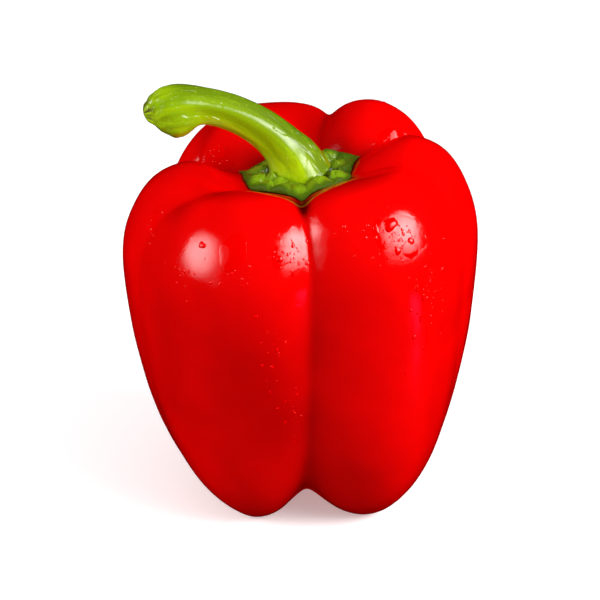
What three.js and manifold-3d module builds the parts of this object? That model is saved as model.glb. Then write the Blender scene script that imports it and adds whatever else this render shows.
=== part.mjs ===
import * as THREE from 'three';
import { mergeVertices } from 'three/addons/utils/BufferGeometryUtils.js';
import Module from 'manifold-3d';

// A red bell pepper standing on its lobes, with its green cap and its bent stem.
// Sizes are in millimetres and angles in degrees. Z is up and the front faces -Y.

// Skin at the middle of a lobe, as distance from the axis and height: from the
// hollow under the stem, over the shoulder and down to the blossom end.
const SKIN_PROFILE = [
  [0, 83.6], [10, 84], [16.5, 88.6], [27.8, 93.3], [37.8, 88.5], [44.1, 76.5], [45.2, 61.7],
  [42.6, 40], [37.5, 20], [31, 6.5], [22, 0], [11, 4], [0, 9.5],
];

// Lobes, counterclockwise from the right. Reach scales the distance from the axis
// at the shoulder and at the foot, rise moves the crest and lift the foot.
const LOBES = [
  { name: 'back right', azimuth: 48.5, shoulder: 0.972, foot: 1.0, rise: 4.1, lift: 0 },
  { name: 'back left', azimuth: 119, shoulder: 0.942, foot: 1.0, rise: 1.6, lift: 0 },
  { name: 'left', azimuth: 192.7, shoulder: 0.99, foot: 0.99, rise: -3.4, lift: 3.0 },
  { name: 'front left', azimuth: 245, shoulder: 1.032, foot: 1.06, rise: -2.7, lift: 0 },
  { name: 'front right', azimuth: 308, shoulder: 1.02, foot: 1.15, rise: 0, lift: 0.3 },
  { name: 'right', azimuth: 354, shoulder: 0.984, foot: 1.01, rise: 2.1, lift: 2.0 },
];

// Grooves between the lobes. Each runs from its azimuth at the crest to that at
// the side. Broad and crease are depths at the crest, the side and the foot, and
// soft is how widely the broad one is rounded. The shoulder's depth is a share of
// the way from that at the crest to that at the side.
const GROOVES = [
  { crest: 22, side: 22, broad: [3.1, 3, 5], crease: [2.4, 1, 2], soft: 0.06 },
  { crest: 73.5, side: 75, broad: [2.6, 2.5, 5], crease: [3.2, 1, 2], soft: 0.1 },
  { crest: 162, side: 160, broad: [5.4, 4.5, 5], crease: [2.5, 1, 2], soft: 0.06 },
  { crest: 225, side: 207.3, broad: [1.3, 0.65, 0.6], crease: [1.55, 0, 0], soft: 0.25 },
  { crest: 270.8, side: 273.9, broad: [1.9, 7.9, 8.2], crease: [3.4, 0.95, 2.2], soft: 0.15 },
  { crest: 334.7, side: 334.6, broad: [2, 0.95, 0.4], crease: [1.15, 0, 0], soft: 0.26 },
];
// Places along the profile, from axis to axis, between which the depths blend.
const GROOVE_STATIONS = [0, 0.12, 0.19, 0.28, 0.36, 0.55, 0.8, 0.88, 1];
const GROOVE_START = 0.1;
const GROOVE_MOUTH = 0.6;
const GROOVE_SHOULDER = 0.46;
const GROOVE_FADE = 0.8;
// Width of the creases along the profile.
const CREASE_WIDTHS = [[0, 1.9], [0.2, 1.9], [0.3, 4.05], [1, 4.05]];
const CREASE_SOFTNESS = 0.8;

// Heights and places between which the shoulder blends into the foot.
const SHOULDER_FROM = 45;
const SHOULDER_SPAN = 50;
const FOOT_FROM = 60;
const LIFT_FROM = 45;
const CREST_FROM = 0.066;
const CREST_SPAN = 0.13;
const GROOVE_TURN_FROM = 0.18;
const GROOVE_TURN_SPAN = 0.25;
// Height of the plane that the feet are pressed flat on.
const FOOT_FLAT = 0.9;

// Cap: where its rim lies on the profile at rising azimuths. It has a point at
// each groove.
const CAP_RIM = [
  [0, 0.125], [10, 0.132], [20, 0.148], [26, 0.138], [33, 0.131], [42, 0.125], [52, 0.121],
  [64, 0.120], [100, 0.118], [125, 0.113], [140, 0.112], [152, 0.119], [161, 0.125], [173, 0.151],
  [181, 0.142], [195, 0.147], [208, 0.150], [220, 0.158], [230, 0.148], [245, 0.146], [258, 0.149],
  [266, 0.158], [272, 0.176], [279, 0.157], [290, 0.139], [302, 0.129], [315, 0.124], [326, 0.128],
  [334, 0.132], [345, 0.119], [360, 0.125],
];
const CAP_GAP = 0.45;
const CAP_EDGE = 0.5;
const CAP_HEART = 2.2;
// Knobs round the stem: azimuth, distance from the axis, height and half width.
const KNOBS = [
  [205, 12.0, 2.0, 2.2], [228, 13.8, 1.9, 2.4], [251, 13.6, 2.1, 2.5], [265, 13.0, 1.8, 2.1],
  [279, 12.8, 1.9, 2.1], [296, 10.9, 2.5, 2.9], [336, 10.2, 2.1, 2.5], [4, 11.7, 1.5, 1.7],
  [21, 9.6, 2.0, 2.7], [52, 10.4, 1.8, 2.6], [82, 10.4, 1.8, 2.6], [112, 10, 1.8, 2.6],
  [142, 9.6, 1.6, 2.3], [172, 10.8, 1.9, 2.5],
];

// Stem: its middle line from the cap to the cut end, and its radius along it.
const STEM_LINE = [
  [0, 0, 83.5], [-2.9, -0.4, 90], [-9.5, -1.4, 97], [-18.6, -3, 102.2], [-28, -5, 104.2],
  [-36.9, -7, 102.6],
];
const STEM_RADIUS = [
  [0, 8.2], [0.1, 7], [0.2, 5.5], [0.28, 4.95], [0.4, 4.65], [0.5, 4.4], [0.6, 4.22], [0.7, 4.25],
  [0.76, 4.58], [0.82, 5], [0.88, 5.2], [0.92, 4.81], [0.96, 3.83], [1, 1.9],
];
const STEM_GAP = 0.5;
const STEM_ROOT = 8;
const STEM_RIBS = 5;
const RIB_SHARE = 0.03;
// How far its underside bulges: the end swells downward.
const STEM_BELLY = [
  [0, 0], [0.3, 0.2], [0.5, 0.4], [0.68, 0.75], [0.72, 1.2], [0.76, 2.6], [0.8, 3.2], [0.88, 3.05],
  [0.92, 2.45], [0.96, 1.35], [1, 0],
];
const BELLY_POWER = 1.5;
// The cut end is slightly domed.
const STEM_BUTT = 0.7;

// Fineness of the solids.
const FRUIT_TURNS = 96;
const FRUIT_ROWS = 40;
const CAP_TURNS = 66;
const CAP_ROWS = 24;
const STEM_TURNS = 22;
const STEM_ROWS = 28;

const smooth = (x) => THREE.MathUtils.smoothstep(x, 0, 1);
const wrap = (angle) => THREE.MathUtils.euclideanModulo(angle + 180, 360) - 180;
const turned = (angle) => THREE.MathUtils.euclideanModulo(angle, 360);

// Straight-line blend through a rising list of [place, value] pairs.
function blend(pairs, place) {
  const next = Math.max(1, pairs.findIndex(([at]) => at >= place));
  const [from, low] = pairs[next - 1];
  const [to, high] = pairs[next];
  return THREE.MathUtils.mapLinear(place, from, to, low, high);
}

// The profile runs on past the axis on both sides, so that it is level there.
const mirrored = ([distance, height]) => new THREE.Vector2(-distance, height);
const profilePoints = SKIN_PROFILE.map(([distance, height]) => new THREE.Vector2(distance, height));
const profileCurve = new THREE.SplineCurve([
  mirrored(SKIN_PROFILE[1]),
  ...profilePoints,
  mirrored(SKIN_PROFILE[SKIN_PROFILE.length - 2]),
]);
const profileSpans = SKIN_PROFILE.length - 1;
function profileAt(place) {
  return profileCurve.getPoint((1 + profileSpans * place) / (profileSpans + 2));
}

// A value of the lobes at an azimuth, eased from each lobe's middle to the next.
function lobeValue(azimuth, key) {
  for (let i = 0; i < LOBES.length; i += 1) {
    const next = LOBES[(i + 1) % LOBES.length];
    const span = turned(next.azimuth - LOBES[i].azimuth);
    const into = turned(azimuth - LOBES[i].azimuth);
    if (into < span) {
      return THREE.MathUtils.lerp(LOBES[i][key], next[key], smooth(into / span));
    }
  }
  return LOBES[0][key];
}

function depthAlong([crest, side, foot], place) {
  const shoulder = THREE.MathUtils.lerp(crest, side, GROOVE_SHOULDER);
  const depths = [
    0, GROOVE_START * crest, GROOVE_MOUTH * crest, crest, shoulder, side, foot, GROOVE_FADE * foot, 0,
  ];
  return blend(GROOVE_STATIONS.map((station, i) => [station, depths[i]]), place);
}

// How far all the grooves sink the skin at an azimuth and a place on the profile.
function grooveDepth(azimuth, place, distance) {
  let depth = 0;
  for (const groove of GROOVES) {
    const turn = smooth((place - GROOVE_TURN_FROM) / GROOVE_TURN_SPAN);
    const middle = THREE.MathUtils.lerp(groove.crest, groove.side, turn);
    const off = wrap(azimuth - middle);
    const ahead = Math.min(...LOBES.map((lobe) => turned(lobe.azimuth - middle)));
    const behind = Math.min(...LOBES.map((lobe) => turned(middle - lobe.azimuth)));
    const share = off >= 0 ? off / ahead : -off / behind;
    const soft = Math.hypot(share, groove.soft) - groove.soft;
    const broad = Math.max(0, 1 - soft) ** 2;
    depth += depthAlong(groove.broad, place) * broad;
    if (Math.abs(off) < 90) {
      const arc = THREE.MathUtils.degToRad(off) * distance;
      const away = Math.hypot(arc, CREASE_SOFTNESS) - CREASE_SOFTNESS;
      depth += depthAlong(groove.crease, place) * Math.exp(-away / blend(CREASE_WIDTHS, place));
    }
  }
  return depth;
}

// Point of the skin at an azimuth and a place on the profile, or above the skin.
function skinPoint(azimuth, place, above = 0) {
  const base = profileAt(place);
  const step = 1e-3;
  const along = profileAt(Math.min(place + step, 1)).sub(profileAt(Math.max(place - step, 0))).normalize();
  const low = smooth((FOOT_FROM - base.y) / SHOULDER_SPAN);
  const high = smooth((base.y - SHOULDER_FROM) / SHOULDER_SPAN);
  const reach = THREE.MathUtils.lerp(lobeValue(azimuth, 'shoulder'), lobeValue(azimuth, 'foot'), low);
  const crest = smooth((place - CREST_FROM) / CREST_SPAN);
  const rise = lobeValue(azimuth, 'rise') * high * crest;
  const lift = lobeValue(azimuth, 'lift') * smooth((LIFT_FROM - base.y) / LIFT_FROM);
  const sunk = grooveDepth(azimuth, place, base.x) - above;
  const distance = Math.max(0, base.x * reach + sunk * along.y);
  const height = Math.max(FOOT_FLAT, base.y + rise + lift - sunk * along.x) - FOOT_FLAT;
  const turn = THREE.MathUtils.degToRad(azimuth);
  return new THREE.Vector3(distance * Math.cos(turn), distance * Math.sin(turn), height);
}

// Moves every point of a ball, given its azimuth and its place from top to bottom.
function shapeBall(turns, rows, pointAt) {
  const ball = new THREE.SphereGeometry(1, turns, rows);
  ball.rotateX(Math.PI / 2);
  const points = ball.attributes.position;
  const point = new THREE.Vector3();
  for (let i = 0; i < points.count; i += 1) {
    point.fromBufferAttribute(points, i);
    const azimuth = turned(THREE.MathUtils.radToDeg(Math.atan2(point.y, point.x)));
    const place = Math.acos(THREE.MathUtils.clamp(point.z, -1, 1)) / Math.PI;
    points.setXYZ(i, ...pointAt(azimuth, place).toArray());
  }
  return closed(ball);
}

function closed(geometry) {
  geometry.deleteAttribute('normal');
  geometry.deleteAttribute('uv');
  return mergeVertices(geometry, 1e-3);
}

function knobHeight(x, y) {
  let height = 0;
  for (const [azimuth, distance, rise, halfWidth] of KNOBS) {
    const turn = THREE.MathUtils.degToRad(azimuth);
    const off = Math.hypot(x - distance * Math.cos(turn), y - distance * Math.sin(turn)) / halfWidth;
    height = Math.max(height, rise * Math.sqrt(Math.max(0, 1 - off * off)));
  }
  return height;
}

// The upper half of the ball is the cap's top, the lower half its underside.
function capGeometry(above, below) {
  return shapeBall(CAP_TURNS, CAP_ROWS, (azimuth, place) => {
    const out = 1 - Math.abs(1 - 2 * place);
    const along = blend(CAP_RIM, azimuth) * out;
    if (place > 0.5) {
      return skinPoint(azimuth, along, CAP_GAP - below);
    }
    const skin = skinPoint(azimuth, along);
    const edge = place < 0.5 ? CAP_EDGE : CAP_EDGE / 2;
    const thick = edge + CAP_HEART * (1 - out * out) + knobHeight(skin.x, skin.y);
    return skinPoint(azimuth, along, CAP_GAP + thick + above);
  });
}

// A rod whose rings follow the stem's line, with its two flat ends.
function stemGeometry() {
  const line = new THREE.CatmullRomCurve3(
    STEM_LINE.map((point) => new THREE.Vector3(...point)), false, 'catmullrom', 0.5,
  );
  const rod = new THREE.CylinderGeometry(1, 1, 1, STEM_TURNS, STEM_ROWS);
  const points = rod.attributes.position;
  const level = new THREE.Vector3(0, 1, 0);
  for (let i = 0; i < points.count; i += 1) {
    const place = THREE.MathUtils.clamp(points.getY(i) + 0.5, 0, 1);
    const share = Math.hypot(points.getX(i), points.getZ(i));
    const turn = Math.atan2(points.getZ(i), points.getX(i));
    const along = line.getTangentAt(place);
    const up = new THREE.Vector3().crossVectors(level, along).normalize();
    const side = new THREE.Vector3().crossVectors(up, along);
    const belly = blend(STEM_BELLY, place) * Math.max(0, -Math.cos(turn)) ** BELLY_POWER;
    const ribs = 1 + RIB_SHARE * Math.cos(STEM_RIBS * turn);
    const radius = share * (blend(STEM_RADIUS, place) * ribs + belly);
    const dome = place === 1 ? STEM_BUTT * (1 - share) : 0;
    const point = line.getPointAt(place).addScaledVector(along, dome);
    point.addScaledVector(up, radius * Math.cos(turn));
    point.addScaledVector(side, radius * Math.sin(turn));
    points.setXYZ(i, ...point.toArray());
  }
  return closed(rod);
}

const wasm = await Module();
wasm.setup();

function toSolid(geometry) {
  return new wasm.Manifold(new wasm.Mesh({
    numProp: 3,
    vertProperties: new Float32Array(geometry.attributes.position.array),
    triVerts: new Uint32Array(geometry.index.array),
  }));
}

function fromSolid(solid) {
  const mesh = solid.getMesh();
  const geometry = new THREE.BufferGeometry();
  geometry.setAttribute('position', new THREE.BufferAttribute(mesh.vertProperties, 3));
  geometry.setIndex(new THREE.BufferAttribute(mesh.triVerts, 1));
  return geometry;
}

const fruitSkin = new THREE.MeshStandardMaterial({ color: 0xc80404, roughness: 0.22, metalness: 0 });
const capGreen = new THREE.MeshStandardMaterial({ color: 0x46780f, roughness: 0.45, metalness: 0 });
const stemGreen = new THREE.MeshStandardMaterial({ color: 0x8cad18, roughness: 0.38, metalness: 0 });

const group = new THREE.Group();
function addNode(name, geometry, material) {
  const mesh = new THREE.Mesh(geometry, material);
  mesh.name = name;
  group.add(mesh);
}

addNode('fruit', shapeBall(FRUIT_TURNS, FRUIT_ROWS, (azimuth, place) => skinPoint(azimuth, place)), fruitSkin);
addNode('calyx', capGeometry(0, 0), capGreen);
// The stem's foot is cut to the cap's top, a small gap above it, and ends there.
const stem = toSolid(stemGeometry()).subtract(toSolid(capGeometry(STEM_GAP, STEM_ROOT)));
addNode('stem', fromSolid(stem), stemGreen);

// The origin is at the middle of the object's box, on the surface it stands on.
const box = new THREE.Box3().setFromObject(group);
const middle = box.getCenter(new THREE.Vector3());
for (const mesh of group.children) {
  mesh.geometry.translate(-middle.x, -middle.y, -box.min.z);
}

export default group;
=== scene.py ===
import math
import random
from functools import lru_cache

import bmesh
import bpy
from bpy.props import FloatProperty, FloatVectorProperty, IntProperty, PointerProperty
from mathutils import Matrix, Vector, noise


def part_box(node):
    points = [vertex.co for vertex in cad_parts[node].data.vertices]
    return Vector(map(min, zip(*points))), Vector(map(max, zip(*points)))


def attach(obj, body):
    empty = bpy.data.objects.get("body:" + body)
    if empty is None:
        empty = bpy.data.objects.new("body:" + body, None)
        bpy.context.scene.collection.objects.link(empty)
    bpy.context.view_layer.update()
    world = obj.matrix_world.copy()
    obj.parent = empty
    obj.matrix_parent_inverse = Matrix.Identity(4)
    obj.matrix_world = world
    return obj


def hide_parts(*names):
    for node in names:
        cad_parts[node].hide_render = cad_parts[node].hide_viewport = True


bl_info = {
    "name": "Bell pepper",
    "version": (1, 0, 0),
    "blender": (4, 5, 0),
    "location": "View3D > Sidebar > Pepper",
    "description": "Models a bell pepper with its cap, stem and water drops",
    "category": "Object",
}

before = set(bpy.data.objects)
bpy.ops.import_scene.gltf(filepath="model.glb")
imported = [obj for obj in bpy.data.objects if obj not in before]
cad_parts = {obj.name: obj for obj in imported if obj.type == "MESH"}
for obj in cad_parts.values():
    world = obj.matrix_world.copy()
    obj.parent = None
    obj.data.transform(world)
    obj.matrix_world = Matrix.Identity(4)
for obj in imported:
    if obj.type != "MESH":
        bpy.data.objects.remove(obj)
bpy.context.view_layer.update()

MM = 0.001

# Skin at the middle of a lobe, as distance from the axis and height in mm: from the
# hollow under the stem, over the shoulder and down to the blossom end.
SKIN_PROFILE = [
    (0, 83.6), (10, 84), (16.5, 88.6), (27.8, 93.3), (37.8, 88.5), (44.1, 76.5), (45.2, 61.7),
    (42.6, 40), (37.5, 20), (31, 6.5), (22, 0), (11, 4), (0, 9.5),
]

# Lobes, counterclockwise from the right: the azimuth of the middle in degrees, how far
# the shoulder and the foot reach, the rise of the crest and the lift of the foot in mm.
LOBES = [
    {"azimuth": 48.5, "shoulder": 0.972, "foot": 1.0, "rise": 4.1, "lift": 0},
    {"azimuth": 119, "shoulder": 0.942, "foot": 1.0, "rise": 1.6, "lift": 0},
    {"azimuth": 192.7, "shoulder": 0.99, "foot": 0.99, "rise": -3.4, "lift": 3.0},
    {"azimuth": 245, "shoulder": 1.032, "foot": 1.06, "rise": -2.7, "lift": 0},
    {"azimuth": 308, "shoulder": 1.02, "foot": 1.15, "rise": 0, "lift": 0.3},
    {"azimuth": 354, "shoulder": 0.984, "foot": 1.01, "rise": 2.1, "lift": 2.0},
]

# Grooves between the lobes, from their azimuth at the crest to that at the side. Broad and
# crease are depths in mm at the crest, the side and the foot, and soft is how widely the
# broad one is rounded.
GROOVES = [
    {"crest": 22, "side": 22, "broad": (3.1, 3, 5), "crease": (5.6, 1, 2), "soft": 0.06},
    {"crest": 73.5, "side": 75, "broad": (2.6, 2.5, 5), "crease": (3.2, 1, 2), "soft": 0.1},
    {"crest": 162, "side": 160, "broad": (5.4, 4.5, 5), "crease": (6, 1, 2), "soft": 0.06},
    {"crest": 225, "side": 207.3, "broad": (1.3, 0.65, 0.6), "crease": (1.55, 0, 0), "soft": 0.25},
    {"crest": 270.8, "side": 273.9, "broad": (1.9, 7.9, 8.2), "crease": (3.4, 0.95, 2.2), "soft": 0.15},
    {"crest": 334.7, "side": 334.6, "broad": (2, 0.95, 0.4), "crease": (1.15, 0, 0), "soft": 0.26},
]
GROOVE_STATIONS = (0, 0.12, 0.19, 0.28, 0.36, 0.55, 0.8, 0.88, 1)
GROOVE_START = 0.1
GROOVE_MOUTH = 0.6
GROOVE_SHOULDER = 0.46
GROOVE_FADE = 0.8
CREASE_WIDTHS = [(0, 1.9), (0.2, 1.9), (0.3, 4.05), (1, 4.05)]
CREASE_SOFTNESS = 0.8

# Heights in mm and places on the profile between which the shoulder blends into the foot.
SHOULDER_FROM = 45
SHOULDER_SPAN = 50
FOOT_FROM = 60
LIFT_FROM = 45
CREST_FROM = 0.066
CREST_SPAN = 0.13
GROOVE_TURN_FROM = 0.18
GROOVE_TURN_SPAN = 0.25
FOOT_FLAT = 0.9

# Hollows that the fruit grew with: azimuth, height, depth and half widths across and up in mm.
HOLLOWS = [
    (258, 50, 0.9, 9, 12),
    (257, 30, 0.7, 7, 16),
    (243, 54, 0.4, 9, 8),
    (18, 44, 0.7, 8, 20),
    (95, 40, 0.8, 10, 16),
    (180, 38, 0.6, 9, 14),
]

# The skin's ripple has a broad part and a fine one: the fine one's size and height against the
# broad one's, its offset in the noise, how far both are sunk, and the places on the profile
# between which they lie.
FINE_RIPPLE_SIZE = 0.35
FINE_RIPPLE_HEIGHT = 0.3
FINE_RIPPLE_AT = (7, 3, 1)
RIPPLE_SINK = 1.1
RIPPLE_FROM = 0.1
RIPPLE_TO = 0.97
RIPPLE_FADE = 0.1

# Painted shade beside the cap, a darker red where the skin runs under it: how much, and over how many mm.
CAP_PAINTED_SHADE = 0.4
CAP_PAINTED_SHADE_REACH = 3.5
# Patches of painted shade, a darker red where shade falls in grooves, hollows and valleys: azimuth,
# place on the profile, amount, and half widths in degrees and along the profile.
PAINTED_SHADE_PATCHES = [
    (214, 0.275, 0.08, 10, 0.03), (219, 0.33, 0.24, 6, 0.035), (222, 0.4, 0.1, 7, 0.06),
    (229, 0.262, 0.36, 12, 0.022), (118, 0.24, 0.32, 26, 0.05), (80, 0.18, 0.4, 16, 0.08),
    (145, 0.275, 0.36, 10, 0.035), (245, 0.25, 0.28, 10, 0.022), (299, 0.263, 0.26, 16, 0.016),
    (252, 0.55, 0.26, 14, 0.07), (264, 0.6, 0.3, 9, 0.06), (225, 0.53, 0.26, 9, 0.07),
    (302, 0.236, 0.42, 22, 0.024), (271, 0.21, 0.9, 5, 0.04), (271.5, 0.25, 0.8, 2.6, 0.03),
    (286, 0.68, 0.2, 12, 0.09), (318, 0.6, 0.16, 6, 0.12), (330, 0.6, 0.1, 8, 0.15),
]

# The skin is still orange beside the cap, mostly in front: the azimuth and spread in degrees,
# how far it reaches from the cap, and the width of its patches, in mm.
UNRIPE_AT = 264
UNRIPE_SPREAD = 24
UNRIPE_REACH = 0.7
UNRIPE_PATCH = 3
# Past this place on the profile the cap is too far away to count.
CAP_FAR = 0.3

# Cap: where its rim lies on the profile at rising azimuths; it has a point at each groove.
CAP_RIM = [
    (0, 0.125), (10, 0.132), (20, 0.148), (26, 0.138), (33, 0.131), (42, 0.125), (52, 0.121),
    (64, 0.120), (100, 0.118), (125, 0.113), (140, 0.112), (152, 0.119), (161, 0.125),
    (173, 0.151), (181, 0.142), (195, 0.147), (208, 0.150), (220, 0.158), (230, 0.148),
    (245, 0.146), (258, 0.149), (266, 0.158), (272, 0.176), (279, 0.157), (290, 0.139),
    (302, 0.129), (315, 0.124), (326, 0.128), (334, 0.132), (345, 0.119), (360, 0.125),
]
# Its thickness at the rim and what the middle has more, in mm, and the widths of its wrinkles
# and lumps.
CAP_EDGE = 0.35
CAP_HEART = 2.2
CAP_WRINKLE_SIZE = 1.1
CAP_LUMP_SIZE = 2
# The outer share of the cap over which it turns dull and dark.
CAP_DULL = 0.14
# Knobs round the stem: azimuth, distance from the axis, height and half width in mm.
KNOBS = [
    (205, 12.4, 1.9, 2.7), (228, 14.2, 1.8, 2.7), (250.5, 14.0, 1.9, 2.7), (267.5, 13.9, 1.8, 2.4),
    (284, 13.2, 1.8, 2.4), (299, 11.2, 2.3, 3.2), (336, 10.4, 2.0, 2.9), (4, 11.7, 1.0, 2.2),
    (21, 9.8, 1.6, 3.1), (52, 10.4, 1.9, 3.1), (82, 10.4, 1.9, 3.1), (112, 10, 1.9, 3.1),
    (142, 9.6, 1.7, 2.9), (172, 10.8, 2.0, 3.0), (239, 10.6, 1.8, 2.8), (218, 10, 1.8, 2.6),
    (260, 11.0, 1.4, 2.2), (318, 12.6, 1.3, 2.1),
]
KNOB_ROUNDNESS = 0.75
# Painted light on the knobs: the height in mm from which a knob's top is painted lightest, and how light
# it is there.
KNOB_PAINTED_LIGHT_AT = 2
KNOB_PAINTED_LIGHT = 0.8

# Stem: its middle line from the cap to the cut end, and its radius along it, in mm.
STEM_LINE = [
    (0, 0, 83.5), (-2.9, -0.4, 90), (-9.5, -1.4, 97), (-18.6, -3, 102.2), (-28, -5, 104.2),
    (-36.9, -7, 102.6),
]
STEM_RADIUS = [
    (0, 8.2), (0.1, 7), (0.2, 5.5), (0.28, 4.95), (0.4, 4.65), (0.5, 4.4), (0.6, 4.22), (0.7, 4.25),
    (0.76, 4.58), (0.82, 5), (0.88, 5.2), (0.92, 4.81), (0.96, 3.83), (1, 1.9),
]
STEM_RIBS = 5
RIB_SHARE = 0.03
# How far its underside bulges, in mm: the end swells downward.
STEM_BELLY = [
    (0, 0), (0.3, 0.2), (0.5, 0.4), (0.68, 0.75), (0.72, 1.2), (0.76, 2.6), (0.8, 3.2), (0.88, 3.05),
    (0.92, 2.45), (0.96, 1.35), (1, 0),
]
BELLY_POWER = 1.5
BLEND_STEP = 0.01
# How far the cut end bulges, in mm, and the share of the rings that closes each end.
STEM_BUTT = 0.7
STEM_CLOSE = 0.06
STEM_STEPS = 400
# Ridges near the end: the place where they start and how soon they are full, their height and
# width in mm and length over width. Then the unevenness of the whole stem.
RIDGE_FROM = 0.8
RIDGE_SPAN = 0.14
RIDGE_HEIGHT = 0.6
RIDGE_WIDTH = 1.3
RIDGE_STRETCH = 5
UNEVEN_HEIGHT = 0.15
UNEVEN_WIDTH = 2
# Painted shade on the upper side, a darker green where less light falls: how far up it starts and how
# soon it is full, as cosines of the turn, how dark it is and how much of that is lost near the end. Then
# the scar, with its ragged edge.
UPPER_FROM = 0.2
UPPER_SPAN = 0.7
UPPER_SHARE = 0.8
UPPER_FADE = 0.7
SCAR_FROM = 0.95
SCAR_SPAN = 0.04
SCAR_PATCH = 0.9

# How deep the middle of a drop lies, as a share of its height, and the stretch of fine drops.
WATER_SINK = 0.15
FINE_STRETCH = (0.8, 1.5)
# Times that each kind's ball is subdivided.
DROP_FINENESS = 3
FINE_FINENESS = 2
POOL_FINENESS = 4
# Steps beside a drop, in degrees and along the profile, that give the skin's slope there.
DROP_STEP_TURN = 0.5
DROP_STEP_DOWN = 0.003
POOL_STEP = 0.01
# Large drops: azimuth, place on the profile, half width in mm and stretch down the skin.
LARGE_DROPS = [
    (237.3, 0.3705, 1.1, 0.75), (301.5, 0.352, 1.9, 0.85), (307, 0.383, 0.9, 1),
    (263.2, 0.3765, 0.8, 1.1), (267.3, 0.352, 0.5, 1.4), (296.3, 0.353, 0.6, 2.3),
    (301.5, 0.391, 0.75, 1.5), (298, 0.3755, 0.4, 1.2), (297.9, 0.398, 0.35, 1.2),
    (302.7, 0.4064, 0.4, 1), (308.4, 0.4045, 0.45, 0.6), (313.3, 0.386, 0.3, 2.6),
    (313.4, 0.37, 0.35, 1), (303, 0.3206, 0.3, 1), (319.5, 0.381, 0.25, 1), (267.3, 0.399, 0.4, 2.2),
    (272.6, 0.386, 0.3, 1.6), (272.3, 0.341, 0.45, 0.7), (264.1, 0.39, 0.3, 1), (242.9, 0.421, 0.4, 1),
    (230.4, 0.437, 0.4, 0.9), (232.9, 0.414, 0.55, 1.2), (252.3, 0.419, 0.3, 1), (206, 0.372, 0.5, 1),
    (306.5, 0.452, 0.5, 1.8), (309, 0.468, 0.7, 1.4), (304.5, 0.481, 0.4, 1), (308, 0.495, 0.5, 2.2),
    (306, 0.515, 0.6, 0.9), (310, 0.53, 0.4, 1.6), (312.5, 0.49, 0.35, 1), (304, 0.55, 0.4, 1),
    (318, 0.44, 0.35, 1.2), (256.5, 0.47, 0.5, 0.8), (235, 0.462, 0.35, 1.5), (262, 0.585, 0.4, 0.8),
]
# Shallow pools of water, whose edges cut through the glints: the same numbers.
POOLS = [
    (248.3, 0.372, 3.6, 1.2), (263.4, 0.373, 2.3, 1.2), (297.5, 0.362, 2.4, 1.5), (306, 0.395, 2.2, 1),
    (156, 0.212, 2.6, 0.7), (25, 0.22, 1.8, 2.4), (308, 0.46, 0.9, 4), (208, 0.37, 1.3, 2.2),
    (305.5, 0.5, 0.7, 4), (311, 0.52, 0.8, 3),
]
# Patches of fine drops: azimuth, place on the profile, spread in degrees and along, and count.
DROP_PATCHES = [
    (302, 0.375, 7, 0.022, 40), (266, 0.372, 5, 0.02, 26), (250, 0.41, 9, 0.018, 14),
    (231, 0.42, 6, 0.02, 20), (288, 0.36, 7, 0.025, 8), (311, 0.46, 7, 0.07, 60),
    (262, 0.52, 6, 0.05, 22), (268, 0.62, 6, 0.05, 18), (208, 0.38, 6, 0.03, 12),
    (155, 0.205, 5, 0.02, 24), (50, 0.32, 14, 0.03, 20), (110, 0.36, 20, 0.04, 24),
]

# Softboxes: how far away they stand in metres, how bright they are at their lamp and at their
# edges, and how far from the lamp they stay bright, as a share of the box.
SOFTBOX_DISTANCE = 0.5
SOFTBOX_BRIGHT = 2
SOFTBOX_DIM = 0.08
SOFTBOX_CORE = 0.05
# Each one's width and height in metres, its azimuth from the front and its elevation in degrees,
# and its lamp: where it is brightest, as shares of the width and height, and how far it fades.
LEFT_SIZE = (0.42, 0.32)
LEFT_STAND = (-63, 23)
LEFT_LAMP = ((0.34, 0.5), 0.58)
RIGHT_SIZE = (0.46, 0.33)
RIGHT_STAND = (61, 29)
RIGHT_LAMP = ((0.6, 0.55), 0.7)
# The right lobe mirrors this card as a dim pink band. Its ends are in mm.
CARD_SIZE = (0.17, 0.06)
CARD_START = (92, -50, 2)
CARD_END = (222, -150, 2)
CARD_LAMP = ((0.5, 0.5), 0.5)
# Heights of a direction in the room, as its Z, below which it is dark and above which it is bright.
ROOM_DARK = -0.1
ROOM_BRIGHT = 0.5
# Camera: sensor in mm, picture size and shift in pixels, and its nearest reach in metres.
SENSOR = 36
FRAME_PIXELS = 600
SHIFT_PIXELS = (-0.5, 5)
CLIP_START = 0.01

# Sockets of a Mix node that mixes colours: its share, its two colours and its result.
SHARE, LOW, HIGH, MIXED = 0, 6, 7, 2


def linear_colour(code):
    """A colour of sRGB hex as linear red, green and blue, with a full alpha."""
    parts = [int(code[at:at + 2], 16) / 255 for at in (1, 3, 5)]
    linear = [part / 12.92 if part <= 0.04045 else ((part + 0.055) / 1.055) ** 2.4 for part in parts]
    return (*linear, 1)


def smooth(share):
    share = min(1, max(0, share))
    return share * share * (3 - 2 * share)


def mix(low, high, share):
    return low + (high - low) * share


def wrapped(angle):
    return (angle + 180) % 360 - 180


def blend(places, values, place):
    """Straight-line blend between values at rising places."""
    for at in range(1, len(places)):
        if place <= places[at]:
            share = (place - places[at - 1]) / (places[at] - places[at - 1])
            return mix(values[at - 1], values[at], share)
    return values[-1]


def rounded_blend(pairs, place):
    """The same through place and value pairs, with its corners rounded."""
    places, values = zip(*pairs)
    steps = [min(1, max(0, place + step * BLEND_STEP)) for step in range(-2, 3)]
    return sum(blend(places, values, step) for step in steps) / len(steps)


def spline_point(points, share):
    """Catmull-Rom curve through points, which run on one past each end; share is 0 to 1."""
    spans = len(points) - 3
    along = min(1, max(0, share)) * spans
    at = min(int(along), spans - 1)
    t = along - at
    before, start, end, after = points[at:at + 4]
    leave, arrive = (end - before) / 2, (after - start) / 2
    cubic = (2 * start - 2 * end + leave + arrive) * t ** 3
    square = (3 * end - 3 * start - 2 * leave - arrive) * t ** 2
    return cubic + square + leave * t + start


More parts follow.
